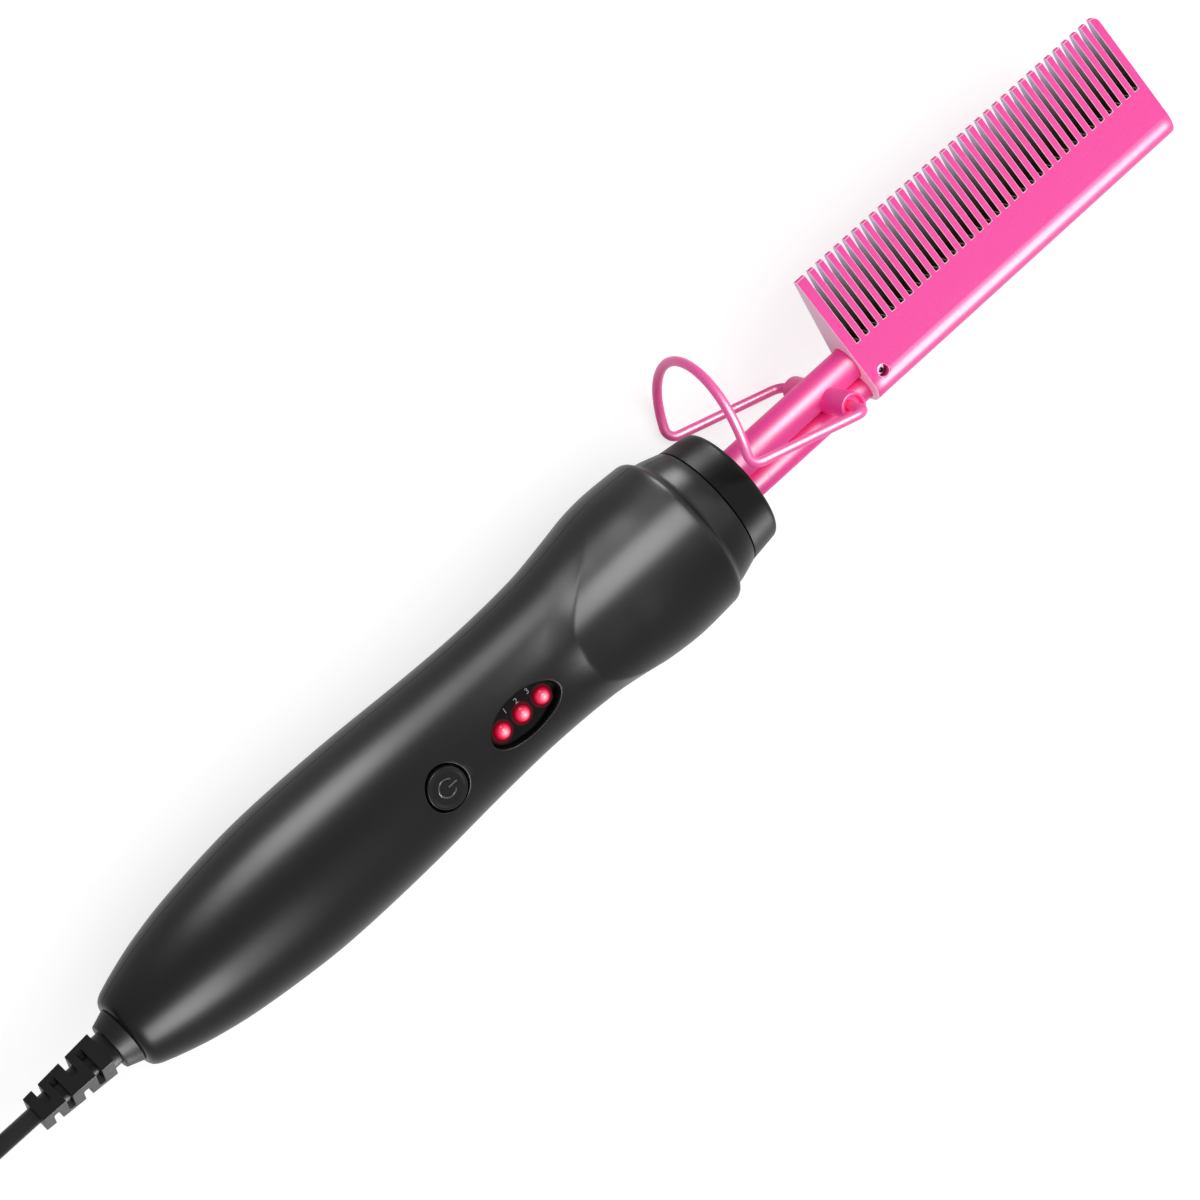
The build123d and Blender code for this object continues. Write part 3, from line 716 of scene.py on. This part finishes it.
def make_button():
    """Cap with a low rounded rim and a shallow dish, and the sign for power standing up in it."""
    outline = [(0, 9.9), (2.2, 9.9), (2.2, 10.35), (5.4, 10.35), (5.4, 11.25)]
    outline += [(button_radius, 11.25), (button_radius, 14.7)]
    outline += arc((button_radius - 0.4, 14.75), 0.4, 0, 120, 6)
    outline += [(3.45, 14.96), (3.2, 14.9), (2.6, 14.86), (1.3, 14.84), (0, 14.84)]
    cap = turned_upright("power_button_cap", outline, button_station, 96)
    show(smooth(cap, 50), "button", "button_black", button_satin, "power_button")
    gap, sign_radius, line_radius = 38, 1.85, 0.2
    ring = [
        at(button_station + x, y, sign_height)
        for x, y in arc((0, 0), sign_radius, gap, 360 - gap, round((360 - 2 * gap) / 10))
    ]
    bar = [at(button_station + x, 0, sign_height) for x in stations(0.3, 2.4, 0.3)]
    for name, path in (("power_sign_ring", ring), ("power_sign_bar", bar)):
        sign = wire_mesh(name, path, line_radius, 3)
        # The sign takes the lighter grey with the painted highlight.
        show(smooth(sign, 60), "button", "button_black", sign_glint_paint)


lamp_pitch = 5.15
lamp_stations = [window_station + lamp_pitch * i for i in (-1, 0, 1)]
lamp_radius = 1.8
lamp_top = 14.1
panel_top = 12.7
panel_depth = 2.4
number_size = 1.7
number_step = 2.9
number_side = 2.35
print_height = 0.02
panel_fit = 0.07
lamp_fit = 0.12


def make_window():
    """Oval panel bored for the lamps, with a number beside each."""
    bpy.ops.object.select_all(action="DESELECT")
    bpy.ops.mesh.primitive_cylinder_add(
        vertices=128, radius=MM, depth=panel_depth * MM,
        location=at(window_station, 0, panel_top - panel_depth / 2),
    )
    panel = bpy.context.active_object
    panel.scale = (window_half_length - panel_fit, window_half_width - panel_fit, 1)
    seat(panel, "lamp_window")
    for station in lamp_stations:
        cut(panel, rod(lamp_radius + lamp_fit, 4, at(station, 0, 10), "Z", 48))
    smooth(soften(panel, 0.12), 40)
    show(panel, "handle", "window_black", glowing_window(), "indicator_panel")
    for number in (1, 2, 3):
        bpy.ops.object.text_add(location=at(
            window_station + number_step * (number - 2), number_side, panel_top + print_height,
        ))
        mark = bpy.context.active_object
        mark.data.body = str(number)
        mark.data.size = number_size * MM
        mark.data.extrude = print_height * MM
        mark = seat(as_mesh(mark), f"lamp_number_{number}")
        show(mark, "handle", "window_black", pale_print)


def make_lamps():
    """Three flanged posts, each with a round top."""
    for level, station in zip(("low", "mid", "high"), lamp_stations):
        outline = [(0, 8.3), (2.1, 8.3), (2.1, 9.0), (lamp_radius, 9.0)]
        outline += arc((0, lamp_top - lamp_radius), lamp_radius, 0, 90, 10)
        dome = turned_upright(f"lamp_dome_{level}", outline, station, 48)
        show(smooth(dome, 60), "handle", "lamp", lit_lamp(station), f"lamp_{level}")


# ------------------------------------------------------------------ stem, comb, stand
comb_start = 194.5
comb_length = 84.4
comb_end = comb_start + comb_length
tooth_tip = 23.2
spine = -6.8
tip_half = 0.6
flank_slope = 0.207
spine_round = 4.6
slot_root = 6.4
slot_width = 1.05
slot_pitch = 2.471
first_slot = 2.93
slot_count = 33
set_screw_radius = 1.25
end_corner = 1.5


def flank(y):
    """Half thickness of the comb's straight flanks."""
    return tip_half + flank_slope * (tooth_tip - y)


def pick_faces(piece, test):
    """Opens a piece with the faces that pass a test selected."""
    edit(piece, "FACE")
    done()
    for face in piece.data.polygons:
        face.select = test(face)
    bpy.ops.object.mode_set(mode="EDIT")
    bpy.ops.mesh.select_mode(type="FACE")


def slide_and_squeeze(rise, squeeze):
    """Extrudes the picked faces along y and narrows them about the comb's middle plane."""
    bpy.ops.mesh.extrude_region_move(TRANSFORM_OT_translate={"value": (0, rise * MM, 0)})
    bpy.ops.transform.resize(value=(1, 1, squeeze), center_override=at(0))


def make_comb():
    """One bar: flanks and rounded spine below the slots' roots, 34 teeth standing on it."""
    lean = atan2(flank_slope, 1)
    round_y = spine + spine_round
    round_z = flank(round_y) - spine_round / cos(lean)
    tangent = round_y + spine_round * sin(lean)
    bar = block(
        (comb_length, slot_root - tangent, 2),
        at(comb_start + comb_length / 2, (slot_root + tangent) / 2),
    )
    for vertex in bar.data.vertices:
        s, y, z = off_axis(vertex.co)
        vertex.co = at(s, y, flank(y) * (1 if z > 0 else -1))
    edit(bar)
    for i in range(slot_count):
        for side in (-0.5, 0.5):
            cut_at = comb_start + first_slot + i * slot_pitch + side * slot_width
            bpy.ops.mesh.select_all(action="SELECT")
            bpy.ops.mesh.bisect(plane_co=at(cut_at), plane_no=(1, 0, 0))
    done()
    low, high = at(0, tangent).y, at(0, slot_root).y
    pick_faces(bar, lambda face: abs(face.center.y - low) < 1e-5 and face.normal.y < -0.9)
    turns = [-lean + (pi / 2 + lean) * i / 10 for i in range(11)]
    rows = [(round_y - spine_round * sin(t), round_z + spine_round * cos(t)) for t in turns]
    for (y0, z0), (y1, z1) in zip(rows, rows[1:]):
        slide_and_squeeze(y1 - y0, z1 / z0)
    done()

    def on_tooth(face):
        """Whether a tooth stands on this face."""
        place = (face.center.x - at(comb_start + first_slot).x) / MM / slot_pitch
        in_slot = abs(place - round(place)) * slot_pitch < slot_width / 2
        in_slot = in_slot and -0.5 < place < slot_count - 0.5
        return abs(face.center.y - high) < 1e-5 and face.normal.y > 0.9 and not in_slot

    pick_faces(bar, on_tooth)
    slide_and_squeeze(tooth_tip - slot_root, tip_half / flank(slot_root))
    done()
    # The two corners of the far end, picked with nothing else selected.
    edit(bar)
    done()
    for edge in bar.data.edges:
        ends = [off_axis(bar.data.vertices[i].co) for i in edge.vertices]
        s, y = ends[0][:2]
        across = abs(s - ends[1][0]) < 0.01 and abs(y - ends[1][1]) < 0.01
        at_corner = y > tooth_tip - 0.01 or y < spine + 0.01
        edge.select = across and abs(s - comb_end) < 0.01 and at_corner
    bpy.ops.object.mode_set(mode="EDIT")
    bpy.ops.mesh.bevel(offset=end_corner * MM, segments=5, affect="EDGES")
    done()
    close_up(bar)
    bar_finishes = (pink_coat, edge_highlight_paint, slot_wall, end_face_sheen_paint)
    for material in bar_finishes:
        bar.data.materials.append(material)
    # Slot walls and roots take the finish with painted shade; the near end face takes the pale one
    # with the painted sheen.
    for face in bar.data.polygons:
        s, y, _ = off_axis(face.center)
        cross = abs(face.normal.x) > 0.9 and comb_start + 0.5 < s < comb_end - 0.5
        if cross or face.normal.y > 0.9 and abs(y - slot_root) < 0.01:
            face.material_index = bar_finishes.index(slot_wall)
        elif face.normal.x < -0.9 and s < comb_start + 0.5:
            face.material_index = bar_finishes.index(end_face_sheen_paint)
    cut(bar, rod(stem_radius + tube_fit, 74, at(comb_start - 2, stem_height)))
    cut(bar, rod(sensor_radius + tube_fit, 16, at(comb_start - 2, sensor_height)))
    cut(bar, rod(set_screw_radius, 8, at(comb_start + 3.4, -1.2, 1.5), "Z", 40))
    # The bevels take the pale finish with the painted highlight.
    soften(bar, 0.09, 2, 25, bar_finishes.index(edge_highlight_paint), False)
    smooth(seat(bar, "comb_bar"), 25)
    for face in bar.data.polygons:
        if abs(face.normal.x) > 0.99 or abs(abs(face.normal.z) - cos(lean)) < 0.001:
            face.use_smooth = False
    show(bar, "handle", "pink_coat", pink_coat, "comb_head")


def make_stem():
    """The two tubes that carry the comb."""
    for name, radius, y, end, node in (
        ("stem_tube_coated", stem_radius, stem_height, 208.5, "stem_tube"),
        ("sensor_tube_coated", sensor_radius, sensor_height, 206.5, "sensor_tube"),
    ):
        tube = rod(radius, end - tube_start, at(tube_start, y), "X", 96)
        cut(tube, rod(radius - tube_wall, end - tube_start + 2, at(tube_start - 1, y), "X", 64))
        show(smooth(seat(soften(tube, 0.1), name), 30), "handle", "pink_coat", pink_tube, node)


stand_station = 186.4
stand_height = 0.3
stand_width = 33.5
stand_leg = 27.4
stand_angle = radians(16.8)
stand_rise = 19.55
stand_bend = 2.6
wire_radius = 1.0
boss_radius = 2.8
boss_reach = 11.6
boss_root = 1.5


def stand_point(out, leg, rise):
    """Point of the stand's wire: out along z, leg along the legs, rise along the arch."""
    return at(
        stand_station - leg * cos(stand_angle) + rise * sin(stand_angle),
        stand_height + leg * sin(stand_angle) + rise * cos(stand_angle),
        out,
    )


def rounded(points, radius, steps=8):
    """The same path with each corner turned by an arc of that radius, in mm."""
    path = [points[0]]
    for before, corner, after in zip(points, points[1:], points[2:]):
        into, out = (before - corner).normalized(), (after - corner).normalized()
        half = into.angle(out) / 2
        reach = radius * MM / tan(half)
        centre = corner + (into + out).normalized() * (radius * MM / sin(half))
        first, last = corner + into * reach - centre, corner + out * reach - centre
        for i in range(steps + 1):
            spoke = first.normalized().slerp(last.normalized(), i / steps)
            path.append(centre + spoke * radius * MM)
    return path + [points[-1]]


def make_stand():
    """One wire: two ends in the bosses, two legs and an arch between them."""
    half = stand_width / 2
    spring = stand_rise - half
    side = [(7.4, 0, 0), (half, 0, 0), (half, stand_leg, 0), (half, stand_leg, spring)]
    upper = rounded([stand_point(*p) for p in side], stand_bend)
    lower = rounded([stand_point(-out, leg, rise) for out, leg, rise in side], stand_bend)
    arch = [
        stand_point(half * cos(radians(a)), stand_leg, spring + half * sin(radians(a)))
        for a in stations(4, 176, 4)
    ]
    stand = wire_mesh("wire_stand_loop", upper + arch + lower[::-1], wire_radius, 6)
    show(smooth(stand, 60), "stand", "stand_pink", pink_wire, "wire_stand")


def make_bosses():
    """Short brazed tube on each side of the stem, bored and counterbored for the stand's wire."""
    for side, word in ((1, "upper"), (-1, "lower")):
        root, counterbore, bore = (
            at(stand_station, stand_height, side * z) for z in (boss_root, boss_reach - 1.6, 7)
        )
        boss = rod(boss_radius, side * (boss_reach - boss_root), root, "Z", 64)
        cut(boss, rod(2.2, side * 3, counterbore, "Z", 64))
        cut(boss, rod(wire_radius + 0.05, side * 6, bore, "Z", 32))
        soften(boss, 0.2, 3)
        show(
            smooth(seat(boss, f"stand_boss_{word}_tube"), 35), "handle", "pink_coat", pink_tube,
            f"stand_boss_{word}",
        )


# ------------------------------------------------------------------ strain relief
relief_start = -5.4
relief_end = -22.4
upper_slots = (-8.9, -16.1)
under_slots = (-12.2, -19.3)


def make_relief():
    """Square moulded sleeve stood on its corner, cut from above and from below in turn."""
    length = relief_start - relief_end
    wide, narrow = 7.5 / sqrt(2), 5.9 / sqrt(2)
    bpy.ops.object.select_all(action="DESELECT")
    bpy.ops.mesh.primitive_cone_add(
        vertices=4, radius1=narrow * MM, radius2=wide * MM, depth=length * MM,
        location=at((relief_start + relief_end) / 2), rotation=(0, pi / 2, 0),
    )
    sleeve = seat(bpy.context.active_object, "strain_relief_sleeve")
    for station in upper_slots:
        cut(sleeve, soften(block((1.4, 20, 10), at(station, 0, 5.6)), 0.3))
    for station in under_slots:
        cut(sleeve, soften(block((1.6, 20, 20), at(station, 0, -7.2)), 0.5, 3))
    soften(sleeve, 0.16, 2)
    cut(sleeve, rod(2.3, length, at(relief_end), "X", 48), operation="UNION")
    cut(sleeve, rod(3.7, 9.1, at(relief_start - 0.1), "X", 64), operation="UNION")
    show(flatten(smooth(sleeve, 35), 1.5), "handle", "cord_rubber", relief_vinyl, "strain_relief")


# ------------------------------------------------------------------ plug
coil_x, coil_y = -57.2, 22.0
coil_columns = (14.6, 18.2, 21.8, 25.4)
cord_radius = 1.8
plug_heading = radians(180)
tail_length = 27.0
plug_size = (24, 17, 12)
blade_size = (17, 1.5, 6.3)
blade_side = 6.35


def beside(distance, height):
    """Point on the line on which the cord leaves its coil; height over the table, in mm."""
    outer = coil_columns[-1]
    x = coil_x - outer * sin(plug_heading) + distance * cos(plug_heading)
    y = coil_y + outer * cos(plug_heading) + distance * sin(plug_heading)
    return Vector((at(x).x, at(0, y).y, height * MM))


def make_plug():
    """Moulded two-blade plug lying flat, with finger ribs and its own ringed relief."""
    face = beside(tail_length, 6)
    outline = [(0, 0), (0, 2.3), (0.3, 2.65)]
    for i in range(4):
        start = 0.8 + i * 2.3
        grow = 2.7 + i * 0.45
        outline += [(start, grow), (start + 1.2, grow + 0.25)]
        outline += [(start + 1.35, grow - 0.5), (start + 2.0, grow - 0.4)]
    outline += [(10, 4.6), (14, 4.8), (14, 0)]
    points = [Vector((x * MM, 0, r * MM)) for x, r in outline]
    neck = spun("plug_neck", points, (0, 0, 0), (1, 0, 0), 64)
    body = seat(block(plug_size, (22 * MM, 0, 0)), "plug_moulding")
    for vertex in body.data.vertices:
        if vertex.co.x < 20 * MM:
            vertex.co.y *= 0.82
            vertex.co.z *= 0.87
    soften(body, 2.6, 6)
    for i in range(5):
        for side in (-1, 1):
            rib = block((1.0, 20, 1.2), Vector(((14.5 + i * 2.1) * MM, 0, side * 6.1 * MM)))
            cut(body, soften(rib, 0.25))
    cut(body, neck, operation="UNION")
    blades = []
    for side in (-1, 1):
        blade = block(blade_size, Vector((41.5 * MM, side * blade_side * MM, 0)))
        soften(blade, 0.6, 3)
        cut(blade, rod(1.3, 6, Vector((46.5 * MM, side * blade_side * MM - 3 * MM, 0)), "Y", 32))
        blades.append(blade)
    for piece in [body] + blades:
        piece.rotation_euler = (0, 0, plug_heading)
        piece.location = face
    body = seat(body, "plug_moulding")
    first, second = (seat(blade, f"plug_blade_{i}") for i, blade in enumerate(blades, 1))
    show(smooth(body, 35), "handle", "cord_rubber", cord_vinyl, "plug_body")
    show(smooth(first, 35), "handle", "blade_brass", blade_brass, "plug_blades")
    show(smooth(second, 35), "handle", "blade_brass", blade_brass)
    return [body, first, second]


# ------------------------------------------------------------------ cord
points_per_turn = 36
coil_turns = 14
crossover = 0.15
# Turn at which each move starts, and the column and layer that it leads to.
coil_moves = [
    (0.0, 3, 3), (0.8, 2, 3), (1.8, 1, 3), (2.8, 0, 3), (3.0, 0, 2), (3.83, 1, 2), (4.83, 2, 2),
    (5.83, 3, 2), (6.66, 3, 1), (7.49, 2, 1), (8.49, 1, 1), (9.49, 0, 1), (10.32, 0, 0),
    (11.15, 1, 0), (12.15, 2, 0), (13.15, 3, 0),
]


def coil_point(turn):
    """Point of the wound cord; each move takes it to the next column or layer in a short run."""
    radius, height = coil_columns[3], 3
    for start, column, layer in coil_moves[1:]:
        share = min(max((turn - start) / crossover, 0), 1)
        share = share * share * (3 - 2 * share)
        radius += (coil_columns[column] - radius) * share
        height += (layer - height) * share
    radius /= cos(pi / points_per_turn)
    angle = -pi / 2 - 2 * pi * turn
    return Vector((
        at(coil_x + radius * cos(angle)).x, at(0, coil_y + radius * sin(angle)).y,
        (cord_radius + height * 2 * cord_radius) * MM,
    ))


def make_cord(plug_pieces):
    """Cord on one smooth route from the strain relief through its coil to the plug."""
    tip = at(relief_end)
    free_run = ((0, 0, 0), (-8.5, 0, 0), (-17, -0.9, -1.9), (-26, -1.5, -4.2))
    route = [tip + Vector(p) * MM for p in free_run]
    count = round(coil_turns * points_per_turn)
    route += [coil_point(coil_turns * i / count) for i in range(count + 1)]
    route += [beside(*p) for p in ((6, 1.9), (18, 5.2), (tail_length, 6))]
    cord = curve_through("mains_cord", route, "NURBS", cord_radius, 5)
    spline = cord.data.splines[0]
    spline.order_u = 3
    spline.use_endpoint_u = True
    spline.resolution_u = 4
    show(cord, "handle", "cord_rubber", cord_vinyl, "cord", "cord_coil", "cord_tail")


make_cord(make_plug())
make_handle()
make_collar()
make_insulator()
make_bush()
make_button()
make_window()
make_lamps()
make_comb()
make_stem()
make_stand()
make_bosses()
make_relief()


# ------------------------------------------------------------------ stage, light
def seen_rays(tree):
    """1 for the rays that see the background: straight, in gloss and through clear pieces."""
    path = add_node(tree, "ShaderNodeLightPath")
    seen = path.outputs["Is Camera Ray"]
    for other in ("Is Glossy Ray", "Is Transmission Ray"):
        seen = add_node(tree, "ShaderNodeMath", {
            0: seen, 1: path.outputs[other],
        }, operation="MAXIMUM").outputs[0]
    return seen


def make_stage():
    """Pale paper that stays white where the camera sees it unshaded, and keeps the shadow."""
    bpy.ops.object.select_all(action="DESELECT")
    bpy.ops.mesh.primitive_plane_add(size=6, location=(0, 0, 0))
    floor = bpy.context.active_object
    floor.name = "floor"
    material, tree = new_finish("pale_paper")
    paper = add_node(tree, "ShaderNodeBsdfDiffuse", {"Color": paint_colour("#B4B4B4")})
    glow = add_node(tree, "ShaderNodeEmission", {"Strength": 0.71})
    lit = add_node(tree, "ShaderNodeAddShader", {0: paper.outputs[0], 1: glow.outputs[0]})
    mix = add_node(tree, "ShaderNodeMixShader", {
        0: seen_rays(tree), 1: paper.outputs[0], 2: lit.outputs[0],
    })
    add_node(tree, "ShaderNodeOutputMaterial", {"Surface": mix.outputs[0]})
    floor.data.materials.append(material)


def soft_box(name, place, aim, size, power, pieces=()):
    """Rectangular soft lamp, in metres and watts.

    With pieces, it is a card: it shows only in the gloss of the pieces whose names start so.
    """
    lamp = bpy.data.lights.new(name, "AREA")
    lamp.shape = "RECTANGLE"
    lamp.size, lamp.size_y = size
    lamp.energy = power
    holder = bpy.data.objects.new(name, lamp)
    scene.collection.objects.link(holder)
    holder.location = place
    holder.rotation_euler = (Vector(aim) - Vector(place)).to_track_quat("-Z", "Y").to_euler()
    holder.visible_diffuse = not pieces
    holder.visible_camera = False
    if pieces:
        lit = bpy.data.collections.new(name)
        for piece in scene.objects:
            if piece.name.startswith(pieces):
                lit.objects.link(piece)
        holder.light_linking.receiver_collection = lit


def make_light():
    """Even white world, one soft box, and cards that each show in the gloss of a few pieces."""
    world = bpy.data.worlds.new("studio")
    scene.world = world
    world.use_nodes = True
    tree = world.node_tree
    tree.nodes.clear()
    ambient = add_node(tree, "ShaderNodeBackground", {"Color": (1, 1, 1, 1), "Strength": 0.72})
    seen = add_node(tree, "ShaderNodeBackground", {"Color": (1, 1, 1, 1), "Strength": 1.0})
    mix = add_node(tree, "ShaderNodeMixShader", {
        0: seen_rays(tree), 1: ambient.outputs[0], 2: seen.outputs[0],
    })
    add_node(tree, "ShaderNodeOutputWorld", {"Surface": mix.outputs[0]})
    shells = ("handle",)
    collar = ("front_collar",)
    sleeve_and_bush = ("strain", "cord")
    tubes = ("stem", "sensor", "stand")
    # Name, place, aim, size, power and the starts of the names of the pieces it shows in.
    for card in (
        ("side_card", (0.108, 0.6, 0.12), (0.108, 0, 0.02), (0.08, 0.36), 2.6,
            shells + collar + ("lamp",)),
        ("grip_card", (-0.059, 0.15, 0.045), (-0.059, 0, 0.018), (0.086, 0.08), 0.48, shells),
        ("tail_card", (-0.42, -0.26, 0.72), (-0.42, 0, 0.02), (0.44, 0.5), 20,
            shells + ("cord_bush",)),
        ("shield_card", (0.011, 0.0232, 0.0562), (0.011, 0.0039, 0.0328), (0.048, 0.023), 0.1,
            shells),
        ("button_card", (-0.45, -0.21, 0.235), (-0.05, 0, 0.03), (0.25, 0.2), 7, ("power",)),
        ("button_side_card", (-0.12, 0.37, 0.35), (-0.05, 0, 0.03), (0.2, 0.15), 3.5, ("power",)),
        ("window_card", (0.08, 0.16, 0.5), (-0.04, 0, 0.02), (0.16, 0.08), 2.6, ("lamp_dome",)),
        ("cove_card", (0.062, 0.059, 0.014), (0.062, 0, 0.018), (0.026, 0.035), 0.09,
            shells + collar),
        ("rim_card", (0.11, -0.28, 0.12), (0.03, 0, 0.02), (0.14, 0.14), 1.2, collar),
        ("spine_card", (0.195, -0.212, 0.232), (0.12, 0, 0.02), (0.16, 0.2), 5.2, ("comb",)),
        ("stem_card", (0.18, 0.16, 0.5), (0.05, 0, 0.02), (0.2, 0.45), 20, tubes),
        ("wire_card", (0.18, 0.16, 0.5), (0.05, 0, 0.02), (0.5, 0.5), 46, ("wire",)),
        ("relief_card", (-0.05, -0.36, 0.02), (-0.14, 0, 0.015), (0.3, 0.3), 4.6,
            sleeve_and_bush),
    ):
        soft_box(*card)
    soft_box("far_end_box", (0.85, 0.1, 0.7), (0, 0, 0), (0.9, 0.9), 4)


make_stage()
make_light()
